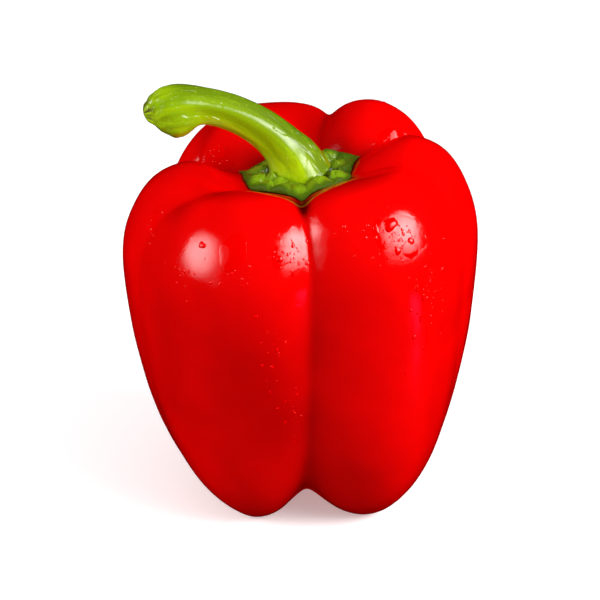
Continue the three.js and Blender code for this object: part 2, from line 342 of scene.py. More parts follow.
def mirrored(point):
    return Vector((-point[0], point[1]))


PROFILE_POINTS = [
    mirrored(SKIN_PROFILE[1]), *[Vector(point) for point in SKIN_PROFILE], mirrored(SKIN_PROFILE[-2]),
]


@lru_cache(maxsize=None)
def profile_at(place):
    """Point of the profile and the direction in which it runs there."""
    step = 1e-3
    ahead = spline_point(PROFILE_POINTS, min(place + step, 1))
    along = ahead - spline_point(PROFILE_POINTS, max(place - step, 0))
    return spline_point(PROFILE_POINTS, place), along.normalized()


@lru_cache(maxsize=None)
def lobe_value(azimuth, key):
    """A value of the lobes at an azimuth, eased from each lobe's middle to the next."""
    for at, lobe in enumerate(LOBES):
        after = LOBES[(at + 1) % len(LOBES)]
        span = (after["azimuth"] - lobe["azimuth"]) % 360
        into = (azimuth - lobe["azimuth"]) % 360
        if into < span:
            return mix(lobe[key], after[key], smooth(into / span))
    return LOBES[0][key]


def depth_along(depths, place):
    crest, side, foot = depths
    values = (
        0, GROOVE_START * crest, GROOVE_MOUTH * crest, crest, mix(crest, side, GROOVE_SHOULDER), side,
        foot, GROOVE_FADE * foot, 0,
    )
    return blend(GROOVE_STATIONS, values, place)


@lru_cache(maxsize=None)
def grooves_at(place):
    """For each groove its azimuth at a place, the lobes' distance on both sides and its depths."""
    turn = smooth((place - GROOVE_TURN_FROM) / GROOVE_TURN_SPAN)
    found = []
    for groove in GROOVES:
        middle = mix(groove["crest"], groove["side"], turn)
        ahead = min((lobe["azimuth"] - middle) % 360 for lobe in LOBES)
        behind = min((middle - lobe["azimuth"]) % 360 for lobe in LOBES)
        broad, crease = depth_along(groove["broad"], place), depth_along(groove["crease"], place)
        width = blend(*zip(*CREASE_WIDTHS), place)
        found.append((middle, ahead, behind, broad, crease, groove["soft"], width))
    return found


def groove_depth(azimuth, place, distance):
    """How far all the grooves sink the skin, in mm."""
    depth = 0
    for middle, ahead, behind, broad, crease, softness, width in grooves_at(place):
        off = wrapped(azimuth - middle)
        share = off / ahead if off >= 0 else -off / behind
        soft = math.hypot(share, softness) - softness
        depth += broad * max(0, 1 - soft) ** 2
        if abs(off) < 90:
            away = math.hypot(math.radians(off) * distance, CREASE_SOFTNESS) - CREASE_SOFTNESS
            depth += crease * math.exp(-away / width)
    return depth


def skin_point(azimuth, place, above=0):
    """Point of the skin in mm at an azimuth and a place from the stem's hollow to the blossom end."""
    base, along = profile_at(place)
    low = smooth((FOOT_FROM - base.y) / SHOULDER_SPAN)
    high = smooth((base.y - SHOULDER_FROM) / SHOULDER_SPAN)
    reach = mix(lobe_value(azimuth, "shoulder"), lobe_value(azimuth, "foot"), low)
    crest = smooth((place - CREST_FROM) / CREST_SPAN)
    rise = lobe_value(azimuth, "rise") * high * crest
    lift = lobe_value(azimuth, "lift") * smooth((LIFT_FROM - base.y) / LIFT_FROM)
    sunk = groove_depth(azimuth, place, base.x) - above
    distance = max(0, base.x * reach + sunk * along.y)
    height = max(FOOT_FLAT, base.y + rise + lift - sunk * along.x) - FOOT_FLAT
    turn = math.radians(azimuth)
    return Vector((distance * math.cos(turn), distance * math.sin(turn), height))


def hollow_depth(azimuth, height, distance):
    depth = 0
    for middle, level, sink, across, up in HOLLOWS:
        side = math.radians(wrapped(azimuth - middle)) * distance / across
        depth += sink * math.exp(-side * side - ((height - level) / up) ** 2)
    return depth


def fruit_point(azimuth, place, settings, above=0):
    """Point of the finished skin, or mm above it: the plain one with its hollows and the
    ripple of its growth."""
    plain = skin_point(azimuth, place)
    distance = math.hypot(plain.x, plain.y)
    finer = plain / (FINE_RIPPLE_SIZE * settings.ripple_size) + Vector(FINE_RIPPLE_AT)
    ripple = noise.noise(plain / settings.ripple_size) + noise.noise(finer) * FINE_RIPPLE_HEIGHT
    edge = smooth((place - RIPPLE_FROM) / RIPPLE_FADE) * smooth((RIPPLE_TO - place) / RIPPLE_FADE)
    raised = settings.ripple_height * (ripple - RIPPLE_SINK) - hollow_depth(azimuth, plain.z, distance)
    return skin_point(azimuth, place, raised * edge + above)


def water_row(here, across, down, half_width, stretch, height):
    """Places a unit ball on the skin as a drop: its middle, two points beside it and its size."""
    down, across = down - here, across - here
    out = down.cross(across).normalized()
    down.normalize()
    side = down.cross(out)
    axes = (side * half_width, down * half_width * stretch, out * height)
    placed = Matrix(axes).transposed().to_4x4()
    placed.translation = here - out * height * WATER_SINK
    return Matrix.Scale(MM, 4) @ Matrix.Translation(AXIS_SHIFT) @ placed


def painted_shade_at(azimuth, place, from_cap):
    """How much painted shade darkens the red, from 0 to 1: beside the cap and in the patches."""
    painted_shade = CAP_PAINTED_SHADE * math.exp(-max(0, from_cap) / CAP_PAINTED_SHADE_REACH)
    for middle, at, amount, across, along in PAINTED_SHADE_PATCHES:
        off = (wrapped(azimuth - middle) / across) ** 2 + ((place - at) / along) ** 2
        painted_shade += amount * math.exp(-off)
    return min(1, painted_shade)


def cap_rim(azimuth):
    """Place on the profile where the cap ends."""
    azimuths, reaches = zip(*CAP_RIM)
    return blend(azimuths, reaches, azimuth % 360)


def knob_height(x, y):
    height = 0
    for azimuth, distance, rise, half_width in KNOBS:
        turn = math.radians(azimuth)
        off = math.hypot(x - distance * math.cos(turn), y - distance * math.sin(turn)) / half_width
        height = max(height, rise * max(0, 1 - off * off) ** KNOB_ROUNDNESS)
    return height


def cap_point(azimuth, place, settings):
    """The upper half of the ball is the cap's top, the lower half its underside."""
    out = 1 - abs(1 - 2 * place)
    along = cap_rim(azimuth) * out
    if place > 0.5:
        return skin_point(azimuth, along, settings.gap)
    skin = skin_point(azimuth, along)
    edge = CAP_EDGE if place < 0.5 else CAP_EDGE / 2
    # The wrinkles die away over the outer quarter.
    wrinkle = settings.wrinkle * noise.noise(skin / CAP_WRINKLE_SIZE) * min(1, 4 * (1 - out))
    knob = knob_height(skin.x, skin.y)
    lump = settings.lump * noise.noise(skin / CAP_LUMP_SIZE) * smooth(knob)
    thick = edge + CAP_HEART * (1 - out * out) + knob + wrinkle + lump
    return skin_point(azimuth, along, settings.gap + thick)


def to_row(point):
    """A point in mm, measured from the fruit's axis, to the frame that the nodes share."""
    return (Vector(point) + AXIS_SHIFT) * MM


def fruit_axis_shift():
    """Where the fruit's axis stands in the nodes' frame, from the middle of the fruit's box."""
    low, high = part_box("fruit")
    xs, ys = [], []
    for azimuth in range(0, 360, 3):
        for step in range(30, 60):
            point = skin_point(azimuth, step / 100)
            xs.append(point.x)
            ys.append(point.y)
    middle = (Vector(low) + Vector(high)) / 2 / MM
    return Vector((middle.x - (min(xs) + max(xs)) / 2, middle.y - (min(ys) + max(ys)) / 2, 0))


AXIS_SHIFT = fruit_axis_shift()


def stem_frames(steps):
    """Points along the stem at equal lengths, each with its direction."""
    line = [Vector(point) for point in STEM_LINE]
    line = [2 * line[0] - line[1], *line, 2 * line[-1] - line[-2]]
    fine = [spline_point(line, at / steps) for at in range(steps + 1)]
    lengths = [0]
    for start, end in zip(fine, fine[1:]):
        lengths.append(lengths[-1] + (end - start).length)
    frames = []
    at = 0
    for step in range(steps + 1):
        target = lengths[-1] * step / steps
        while at < len(lengths) - 2 and lengths[at + 1] < target:
            at += 1
        share = (target - lengths[at]) / (lengths[at + 1] - lengths[at])
        frames.append((fine[at].lerp(fine[at + 1], share), (fine[at + 1] - fine[at]).normalized()))
    return frames, lengths[-1]


def finish_piece(name, shape, material, node=None):
    """Makes a bmesh an object that rides on the pepper, and stands for a node where one is given."""
    bmesh.ops.remove_doubles(shape, verts=shape.verts, dist=1e-7)
    bmesh.ops.recalc_face_normals(shape, faces=shape.faces)
    for face in shape.faces:
        face.smooth = True
    mesh = bpy.data.meshes.new(name)
    shape.to_mesh(mesh)
    shape.free()
    mesh.materials.append(material)
    piece = bpy.data.objects.new(name, mesh)
    bpy.context.scene.collection.objects.link(piece)
    if node:
        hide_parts(node)
    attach(piece, "root")
    return piece


def add_node(tree, kind, output, inputs, **settings):
    """Adds a node with its settings and gives one of its outputs. Each input is a value or
    another node's output."""
    node = tree.nodes.new("ShaderNode" + kind)
    for name, value in settings.items():
        setattr(node, name, value)
    for name, value in inputs.items():
        if isinstance(value, bpy.types.NodeSocket):
            tree.links.new(value, node.inputs[name])
        else:
            node.inputs[name].default_value = value
    return node.outputs[output]


def new_material(name):
    """A material, its tree and the socket that its shader goes into."""
    material = bpy.data.materials.new(name)
    material.use_nodes = True
    tree = material.node_tree
    tree.nodes.clear()
    return material, tree, tree.nodes.new("ShaderNodeOutputMaterial").inputs["Surface"]


def waxed_skin(settings):
    """Ripe pepper skin: a thin glossy wax over red flesh, grown with tiny pores, so
    it gives sharp wide highlights on the crests and a dim broad sheen round them."""
    material, tree, surface = new_material("waxed_red_skin")
    place = add_node(tree, "TexCoord", "Object", {})
    # Patches of riper flesh, about 15 mm across.
    patches = add_node(tree, "TexNoise", "Fac", {"Vector": place, "Scale": 1 / (15 * MM), "Detail": 3})
    # Pores, about 0.8 mm apart, as coarse as they need to show.
    pores = add_node(tree, "TexNoise", "Fac", {"Vector": place, "Scale": 1 / (0.8 * MM), "Detail": 2})
    riper = add_node(tree, "MapRange", "Result", {"Value": patches, "From Min": 0.35, "From Max": 0.65})
    # Painted shade: how far the red is darkened where shade falls, beside the cap and in the grooves and
    # hollows.
    painted_shade = add_node(tree, "Attribute", "Fac", {}, attribute_name="painted_shade")
    unripe = add_node(tree, "Attribute", "Fac", {}, attribute_name="unripe")
    specks = add_node(tree, "MapRange", "Result", {"Value": pores, "From Min": 0.35, "From Max": 0.6})
    edge = add_node(tree, "Math", 0, {0: unripe, 1: specks}, operation="MULTIPLY")
    # Each colour is laid over the ones before it.
    tint = settings.deep_red
    layers = (riper, settings.red), (painted_shade, settings.painted_shade_red), (edge, settings.unripe_orange)
    for share, colour in layers:
        tint = add_node(
            tree, "Mix", MIXED, {SHARE: share, LOW: tint, HIGH: colour}, data_type="RGBA",
        )
    rough = add_node(tree, "MapRange", "Result", {
        "Value": patches, "To Min": settings.roughness - 0.04, "To Max": settings.roughness + 0.06,
    })
    # A film of water, in patches about 12 mm across with a sharp edge, bends the wax's glints.
    wet = add_node(tree, "TexNoise", "Fac", {
        "Vector": place, "Scale": 1 / (12 * MM), "Detail": 3, "Distortion": 0.4,
    })
    film = add_node(tree, "MapRange", "Result", {"Value": wet, "From Min": 0.53, "From Max": 0.56})
    swell = add_node(tree, "TexNoise", "Fac", {"Vector": place, "Scale": 1 / (7 * MM), "Detail": 2})
    inputs = {0: swell, 1: settings.film_swell, 2: settings.film_edge - settings.film_swell / 2}
    lens = add_node(tree, "Math", 0, inputs, operation="MULTIPLY_ADD")
    wetness = add_node(tree, "Math", 0, {0: film, 1: lens}, operation="MULTIPLY")
    inputs = {0: pores, 1: settings.pore_depth, 2: wetness}
    grain = add_node(tree, "Math", 0, inputs, operation="MULTIPLY_ADD")
    flesh_bump = add_node(tree, "Bump", 0, {"Height": pores, "Strength": 1, "Distance": 0.01 * MM})
    wax_bump = add_node(tree, "Bump", 0, {"Height": grain, "Strength": 1, "Distance": MM})
    shader = add_node(tree, "BsdfPrincipled", 0, {
        "Base Color": tint, "Roughness": rough, "IOR": 1.42, "Specular IOR Level": 0,
        "Normal": flesh_bump, "Coat Weight": 1, "Coat Roughness": settings.wax_roughness,
        "Coat IOR": 1.41, "Coat Normal": wax_bump,
    })
    tree.links.new(shader, surface)
    return material


def cap_green(settings):
    """Calyx: leaf-like green tissue grown in knobs, with a thin wax that gives each knob
    a small glint; the knob tops are painted lighter as painted light, and the hollows between them a
    darker, duller green as painted shade."""
    material, tree, surface = new_material("calyx_leaf_green")
    place = add_node(tree, "TexCoord", "Object", {})
    # Mottling, about 2 mm across.
    mottle = add_node(tree, "TexNoise", "Fac", {"Vector": place, "Scale": 1 / (2 * MM), "Detail": 4})
    # Cells, about 0.5 mm across, as coarse as they need to show.
    cells = add_node(tree, "TexNoise", "Fac", {"Vector": place, "Scale": 1 / (0.5 * MM), "Detail": 3})
    # Painted light: the knob tops are painted lighter by their height.
    knob = add_node(tree, "Attribute", "Fac", {}, attribute_name="knob")
    edge = add_node(tree, "Attribute", "Fac", {}, attribute_name="edge")
    paler = add_node(tree, "MapRange", "Result", {"Value": mottle, "From Min": 0.3, "From Max": 0.7})
    # Paler cells, partly real speckle and partly painted glints.
    specks = add_node(tree, "MapRange", "Result", {"Value": cells, "From Min": 0.58, "From Max": 0.8})
    tint = settings.dark_green
    layers = (
        (paler, settings.green), (knob, settings.painted_light_green), (specks, settings.speckle_and_painted_glint),
        (edge, settings.dark_green),
    )
    for share, colour in layers:
        tint = add_node(
            tree, "Mix", MIXED, {SHARE: share, LOW: tint, HIGH: colour}, data_type="RGBA",
        )
    # Its thin rim is dull.
    wax = add_node(tree, "Math", 0, {0: 1, 1: edge}, operation="SUBTRACT")
    bump = add_node(tree, "Bump", 0, {"Height": cells, "Strength": 1, "Distance": 0.2 * MM})
    shader = add_node(tree, "BsdfPrincipled", 0, {
        "Base Color": tint, "Roughness": 0.5, "IOR": 1.42, "Specular IOR Level": 0.2, "Normal": bump,
        "Coat Weight": wax, "Coat Roughness": 0.1, "Coat IOR": 1.42, "Coat Normal": bump,
    })
    tree.links.new(shader, surface)
    return material


def stem_green(settings):
    """Fresh stem: smooth wet rind with fibres that run along it, darker lines between its
    ribs, a fine grain of pale cells, painted shade on its upper side, and dry brown rays on the scar
    where it was cut."""
    material, tree, surface = new_material("fresh_stem_rind")
    # The stem as if it were straight, with Z along it.
    straight = add_node(tree, "CombineXYZ", "Vector", {
        axis: add_node(tree, "Attribute", "Fac", {}, attribute_name="straight_" + axis.lower())
        for axis in "XYZ"
    })
    # Fibres: 0.9 mm apart across the stem and ten times as long.
    along = add_node(tree, "Mapping", "Vector", {"Vector": straight, "Scale": (1, 1, 0.1)})
    fibres = add_node(tree, "TexNoise", "Fac", {"Vector": along, "Scale": 1 / (0.9 * MM), "Detail": 3})
    streaks = add_node(tree, "TexNoise", "Fac", {"Vector": along, "Scale": 1 / (3.5 * MM), "Detail": 3})
    # Cells, about 0.5 mm across, as coarse as they need to show.
    cells = add_node(tree, "TexNoise", "Fac", {"Vector": straight, "Scale": 1 / (0.5 * MM), "Detail": 3})
    streaky = add_node(tree, "MapRange", "Result", {"Value": streaks, "From Min": 0.38, "From Max": 0.62})
    # Painted shade on the upper side, where less light falls.
    upper = add_node(tree, "Attribute", "Fac", {}, attribute_name="upper")
    lines = add_node(tree, "MapRange", "Result", {"Value": fibres, "From Min": 0.5, "From Max": 0.85})
    specks = add_node(tree, "MapRange", "Result", {"Value": cells, "From Min": 0.6, "From Max": 1})
    # Rays run out from the middle of the scar, so they follow the turn round the stem alone.
    flat = add_node(tree, "VectorMath", "Vector", {0: straight, 1: (1, 1, 0)}, operation="MULTIPLY")
    outwards = add_node(tree, "VectorMath", "Vector", {0: flat}, operation="NORMALIZE")
    rays = add_node(tree, "TexNoise", "Fac", {"Vector": outwards, "Scale": 3.5, "Detail": 2})
    sharp = add_node(tree, "MapRange", "Result", {"Value": rays, "From Min": 0.42, "From Max": 0.6})
    scar = add_node(tree, "Attribute", "Fac", {}, attribute_name="scar")
    dry = add_node(tree, "Math", 0, {0: scar, 1: sharp}, operation="MULTIPLY")
    tint = settings.yellow_green
    layers = (
        (streaky, settings.dark_green), (upper, settings.green), (lines, settings.dark_green),
        (specks, settings.pale_dot), (dry, settings.scar_brown),
    )
    for share, colour in layers:
        tint = add_node(
            tree, "Mix", MIXED, {SHARE: share, LOW: tint, HIGH: colour}, data_type="RGBA",
        )
    rough = add_node(tree, "Math", 0, {0: fibres, 1: cells}, operation="ADD")
    bump = add_node(tree, "Bump", 0, {"Height": rough, "Strength": 1, "Distance": 0.02 * MM})
    # Water lies on it in patches about 5 mm across, longer along it, and breaks up its glint.
    runs = add_node(tree, "Mapping", "Vector", {"Vector": straight, "Scale": (1, 1, 0.35)})
    wet = add_node(tree, "TexNoise", "Fac", {
        "Vector": runs, "Scale": 1 / (5 * MM), "Detail": 2, "Distortion": 0.4,
    })
    patches = add_node(tree, "MapRange", "Result", {"Value": wet, "From Min": 0.48, "From Max": 0.51})
    swell = add_node(tree, "TexNoise", "Fac", {"Vector": runs, "Scale": 1 / (3 * MM), "Detail": 1})
    lens = add_node(tree, "Math", 0, {0: patches, 1: swell}, operation="MULTIPLY")
    film = add_node(tree, "Bump", 0, {
        "Height": lens, "Normal": bump, "Strength": 1, "Distance": 0.3 * MM,
    })
    shader = add_node(tree, "BsdfPrincipled", 0, {
        "Base Color": tint, "Roughness": 0.5, "IOR": 1.42, "Specular IOR Level": 0.08, "Normal": bump,
        "Coat Weight": 1, "Coat Roughness": 0.1, "Coat IOR": 1.4, "Coat Normal": film,
    })
    tree.links.new(shader, surface)
    return material


def water_film(settings):
    """Water lying on the skin in beads and thin sheets: it shows the red beneath, and its
    smoother surface gives a sharper, dimmer glint than the wax, broken off at its steep edge."""
    material, tree, surface = new_material("water_film_on_red")
    place = add_node(tree, "TexCoord", "Object", {})
    # The same patches of riper flesh as the skin's.
    patches = add_node(tree, "TexNoise", "Fac", {"Vector": place, "Scale": 1 / (15 * MM), "Detail": 3})
    riper = add_node(tree, "MapRange", "Result", {"Value": patches, "From Min": 0.35, "From Max": 0.65})
    inputs = {SHARE: riper, LOW: settings.deep_red, HIGH: settings.red}
    flesh = add_node(tree, "Mix", MIXED, inputs, data_type="RGBA")
    # Ripples, about 1.5 mm across.
    ripples = add_node(tree, "TexNoise", "Fac", {"Vector": place, "Scale": 1 / (1.5 * MM), "Detail": 1})
    bump = add_node(tree, "Bump", 0, {"Height": ripples, "Strength": 1, "Distance": 0.05 * MM})
    shader = add_node(tree, "BsdfPrincipled", 0, {
        "Base Color": flesh, "Roughness": 0.5, "Specular IOR Level": 0, "Coat Weight": 1,
        "Coat Roughness": 0.04, "Coat IOR": 1.36, "Coat Normal": bump,
    })
    tree.links.new(shader, surface)
    return material


def opal_table(settings):
    """Opal acrylic table, lit from below as well: even, pale and without gloss."""
    material, tree, surface = new_material("opal_acrylic_table")
    shader = add_node(tree, "BsdfPrincipled", 0, {
        "Base Color": settings.floor_colour, "Roughness": 1, "Specular IOR Level": 0,
        "Emission Color": (1, 1, 1, 1), "Emission Strength": settings.floor_glow,
    })
    tree.links.new(shader, surface)
    return material


def colour_property(name, description, code):
    return FloatVectorProperty(
        name=name, description=description, subtype="COLOR", size=4, default=linear_colour(code),
    )


class FruitSettings(bpy.types.PropertyGroup):
    turns: IntProperty(name="Turns", description="Points round the fruit", default=300, min=24)
    rows: IntProperty(
        name="Rows", description="Rings from the stem to the blossom end", default=170, min=24,
    )
    ripple_height: FloatProperty(
        name="Ripple height", description="Height of the skin's ripple, in mm", default=0.22,
    )
    ripple_size: FloatProperty(
        name="Ripple size", description="Width of the skin's ripple, in mm", default=17,
    )
    red: colour_property("Red", "Ripe skin", "#E00000")
    deep_red: colour_property("Deep red", "Patches of deeper red", "#D40000")
    # Painted shade red: the dark red that paints shade into the grooves and hollows and beside the cap.
    painted_shade_red: colour_property("Groove red", "Deepest red, in the grooves", "#500000")
    unripe_orange: colour_property("Unripe orange", "Skin beside the cap", "#B45A00")
    roughness: FloatProperty(name="Roughness", description="Roughness under the wax", default=0.42)
    wax_roughness: FloatProperty(name="Wax roughness", description="Roughness of the wax", default=0.1)
    pore_depth: FloatProperty(name="Pore depth", description="Depth of the pores, in mm", default=0.026)
    film_edge: FloatProperty(
        name="Film edge", description="Thickness of the water film, in mm", default=0.012,
    )
    film_swell: FloatProperty(
        name="Film swell", description="How far the film swells, in mm", default=0.22,
    )


class CapSettings(bpy.types.PropertyGroup):
    turns: IntProperty(name="Turns", description="Points round the cap", default=260, min=24)
    rows: IntProperty(name="Rows", description="Rings over its top and underside", default=110, min=12)
    gap: FloatProperty(name="Gap", description="Gap between cap and skin, in mm", default=0.15)
    wrinkle: FloatProperty(name="Wrinkle", description="Height of its wrinkles, in mm", default=0.5)
    lump: FloatProperty(name="Lump", description="Height of the lumps on its knobs, in mm", default=0.35)
    green: colour_property("Green", "Cap", "#608400")
    # Dark green: the cap's darkest tone, left as painted shade between the knobs, and used at its rim.
    dark_green: colour_property("Dark green", "Between the knobs", "#446000")
    # Painted light green: the knob tops, painted lighter as if lit.
    painted_light_green: colour_property("Knob green", "Tops of the knobs", "#7EA200")
    # Speckle: paler cells, partly real speckle and partly painted glints on the knobs.
    speckle_and_painted_glint: colour_property("Speckle", "Paler cells", "#9CB634")


class StemSettings(bpy.types.PropertyGroup):
    turns: IntProperty(name="Turns", description="Points round the stem", default=120, min=12)
    rows: IntProperty(name="Rows", description="Rings along it", default=180, min=12)
    # Green: painted shade on the stem's upper side, where less light falls.
    green: colour_property("Green", "Darker rind", "#3E5C00")
    yellow_green: colour_property("Yellow green", "Rind", "#A6C600")
    dark_green: colour_property("Dark green", "Fibres", "#7C9C00")
    pale_dot: colour_property("Pale cells", "Fine grain", "#C4D448")
    scar_brown: colour_property("Scar brown", "Dry end", "#4A3A1C")


class DropSettings(bpy.types.PropertyGroup):
    seed: IntProperty(name="Seed", description="Picks where the fine drops fall", default=4)
    smallest: FloatProperty(
        name="Smallest", description="Half width of the finest drops, in mm", default=0.18,
    )
    largest: FloatProperty(
        name="Largest", description="Half width of the larger fine drops, in mm", default=0.44,
    )
    height_share: FloatProperty(
        name="Height share", description="Drops' height over half width", default=0.45,
    )
    pool_share: FloatProperty(
        name="Pool share", description="Pools' height over half width", default=0.035,
    )
    unevenness: FloatProperty(
        name="Unevenness", description="How far their outlines wander", default=0.4,
    )


class StageSettings(bpy.types.PropertyGroup):
    elevation: FloatProperty(
        name="Elevation", description="Camera above the horizon, in degrees", default=25,
    )
    lens: FloatProperty(name="Lens", description="Camera lens, in mm", default=120)
    pixel_scale: FloatProperty(name="Scale", description="Pixels per mm at the pepper", default=3.94)
    aim_height: FloatProperty(
        name="Aim height", description="Height that the camera looks at, in mm", default=48.6,
    )
    floor_size: FloatProperty(name="Floor", description="Side of the floor", default=8, unit="LENGTH")
    floor_colour: colour_property("Floor colour", "Floor", "#F4F4F4")
    floor_glow: FloatProperty(
        name="Floor glow", description="Light that comes through the floor", default=0.3,
    )
    left_power: FloatProperty(
        name="Left box", description="Power of the left softbox, in watts", default=2.3,
    )
    right_power: FloatProperty(
        name="Right box", description="Power of the right softbox, in watts", default=4,
    )
    card_power: FloatProperty(name="Card", description="Power of the card, in watts", default=0.015)
    card_colour: colour_property("Card colour", "Card beside the pepper", "#D070E8")
    ambient: FloatProperty(name="Ambient", description="Light from above", default=0.53)
    low_ambient: FloatProperty(
        name="Low ambient", description="Light from below the table", default=0.42,
    )


def shaped_ball(turns, rows, point_at, values=()):
    """A ball whose points go where point_at says, from their azimuth and place from top to
    bottom; point_at gives the point in mm and a number for each of the named values."""
    shape = bmesh.new()
    bmesh.ops.create_uvsphere(shape, u_segments=turns, v_segments=rows, radius=1)
    layers = [shape.verts.layers.float.new(name) for name in values]
    for vert in shape.verts:
        azimuth = round(math.degrees(math.atan2(vert.co.y, vert.co.x)) % 360, 3)
        place = round(math.acos(min(1, max(-1, vert.co.z))) / math.pi, 6)
        point, *numbers = point_at(azimuth, place)
        vert.co = to_row(point)
        for layer, number in zip(layers, numbers):
            vert[layer] = number
    return shape


class PEPPER_OT_fruit(bpy.types.Operator):
    """Models the fruit with its lobes, grooves and hollows"""
    bl_idname = "pepper.fruit"
    bl_label = "Fruit"

    def execute(self, context):
        settings = context.scene.pepper_fruit

        @lru_cache(maxsize=None)
        def rims(azimuth):
            rim = skin_point(azimuth, cap_rim(azimuth))
            return math.hypot(rim.x, rim.y)

        def point_at(azimuth, place):
            point = fruit_point(azimuth, place, settings)
            from_cap = math.hypot(point.x, point.y) - rims(azimuth) if place < CAP_FAR else math.inf
            front = math.exp(-(wrapped(azimuth - UNRIPE_AT) / UNRIPE_SPREAD) ** 2)
            # It comes in patches, with a little more skin unripe than not.
            patch = smooth(noise.noise(point / UNRIPE_PATCH) * 2 + 0.6)
            unripe = front * math.exp(-max(0, from_cap) / UNRIPE_REACH) * patch
            # Its last number is the painted shade that darkens the red.
            return point, unripe, painted_shade_at(azimuth, place, from_cap)

        shape = shaped_ball(settings.turns, settings.rows, point_at, ["unripe", "painted_shade"])
        finish_piece("fruit_skin", shape, waxed_skin(settings), "fruit")
        return {"FINISHED"}


class PEPPER_OT_cap(bpy.types.Operator):
    """Models the green cap with its knobs and points"""
    bl_idname = "pepper.cap"
    bl_label = "Cap"

    def execute(self, context):
        settings = context.scene.pepper_cap

        def point_at(azimuth, place):
            point = cap_point(azimuth, place, settings)
            out = 1 - abs(1 - 2 * place)
            # The knob tops are painted lighter by their height: painted light.
            knob = KNOB_PAINTED_LIGHT * smooth(knob_height(point.x, point.y) / KNOB_PAINTED_LIGHT_AT)
            return point, knob if place < 0.5 else 0, smooth((out - 1 + CAP_DULL) / CAP_DULL)

        shape = shaped_ball(settings.turns, settings.rows, point_at, ["knob", "edge"])
        finish_piece("calyx_cap", shape, cap_green(settings), "calyx")
        return {"FINISHED"}


class PEPPER_OT_stem(bpy.types.Operator):
    """Models the bent stem with its ribs, swollen end and scar"""
    bl_idname = "pepper.stem"
    bl_label = "Stem"

    def execute(self, context):
        settings = context.scene.pepper_stem
        frames, length = stem_frames(STEM_STEPS)
        level = Vector((0, 1, 0))

        def point_at(azimuth, place):
            # The ball's top is the cut end, and its first and last rings close over the two ends.
            open_share = 1 - 2 * STEM_CLOSE
            along = 1 - (place - STEM_CLOSE) / open_share
            share = 1
            if along > 1:
                share = 1 - (along - 1) * open_share / STEM_CLOSE
            elif along < 0:
                share = 1 + along * open_share / STEM_CLOSE
            along = min(1, max(0, along))
            middle, forward = frames[min(STEM_STEPS, int(along * STEM_STEPS + 0.5))]
            turn = math.radians(azimuth)
            up = level.cross(forward).normalized()
            side = up.cross(forward)
            swell = rounded_blend(STEM_BELLY, along) * max(0, -math.cos(turn)) ** BELLY_POWER
            ribs = 1 + RIB_SHARE * math.cos(STEM_RIBS * turn)
            full = rounded_blend(STEM_RADIUS, along) * ribs + swell
            flat = Vector((full * math.cos(turn), full * math.sin(turn), along * length))
            end = smooth((along - RIDGE_FROM) / RIDGE_SPAN)
            ridges = Vector((flat.x, flat.y, flat.z / RIDGE_STRETCH))
            full += RIDGE_HEIGHT * end * noise.noise(ridges / RIDGE_WIDTH)
            # The unevenness only sinks the rind, so the stem stays inside its solid.
            full += UNEVEN_HEIGHT * (noise.noise(ridges / UNEVEN_WIDTH) - 1)
            bulge = STEM_BUTT * (1 - share * share) if along >= 1 else 0
            above, aside = full * share * math.cos(turn), full * share * math.sin(turn)
            # Painted shade on the upper side, fading near the end.
            upper = UPPER_SHARE * smooth((math.cos(turn) - UPPER_FROM) / UPPER_SPAN)
            scar = smooth((along - SCAR_FROM) / SCAR_SPAN)
            ragged = 0.75 + 0.5 * noise.noise(flat / SCAR_PATCH)
            point = middle + up * above + side * aside + forward * bulge
            straight = above * MM, aside * MM, along * length * MM
            return point, *straight, upper * (1 - UPPER_FADE * end), max(0, scar * ragged)

        values = ["straight_x", "straight_y", "straight_z", "upper", "scar"]
        shape = shaped_ball(settings.turns, settings.rows, point_at, values)
        stem = finish_piece("stem_stalk", shape, stem_green(settings), "stem")
        # The wax of the skin is too dim a mirror to show the stem.
        stem.visible_glossy = False
        return {"FINISHED"}


def add_water(shape, azimuth, place, fineness, unevenness):
    """Adds a unit ball to a shape. Water clings unevenly, so its outline wanders, and differs
    from place to place."""
    water = bmesh.ops.create_icosphere(shape, subdivisions=fineness, radius=1)["verts"]
    pick = Vector((azimuth, 50 * place, 0))
    for vert in water:
        vert.co.xy *= 1 + unevenness * noise.noise(vert.co.xy.to_3d() + pick)
    return water


def add_drop(shape, azimuth, place, half_width, stretch, fineness, share, unevenness):
    """Adds a bead of water to a shape."""
    fruit = bpy.context.scene.pepper_fruit
    here = fruit_point(azimuth, place, fruit)
    across = fruit_point(azimuth + DROP_STEP_TURN, place, fruit)
    down = fruit_point(azimuth, place + DROP_STEP_DOWN, fruit)
    row = water_row(here, across, down, half_width, stretch, half_width * share)
    water = add_water(shape, azimuth, place, fineness, unevenness)
    bmesh.ops.transform(shape, matrix=row, verts=water)


def add_pool(shape, azimuth, place, half_width, stretch, share, unevenness):
    """Adds a thin sheet of water that follows the skin to a shape."""
    fruit = bpy.context.scene.pepper_fruit
    here = fruit_point(azimuth, place, fruit)
    turn = math.degrees(half_width / math.hypot(here.x, here.y))
    below = fruit_point(azimuth, place + POOL_STEP, fruit)
    travel = half_width * stretch * POOL_STEP / (below - here).length
    for vert in add_water(shape, azimuth, place, POOL_FINENESS, unevenness):
        across, down, above = vert.co
        above = (above - WATER_SINK) * share * half_width
        vert.co = to_row(fruit_point(azimuth + across * turn, place + down * travel, fruit, above))


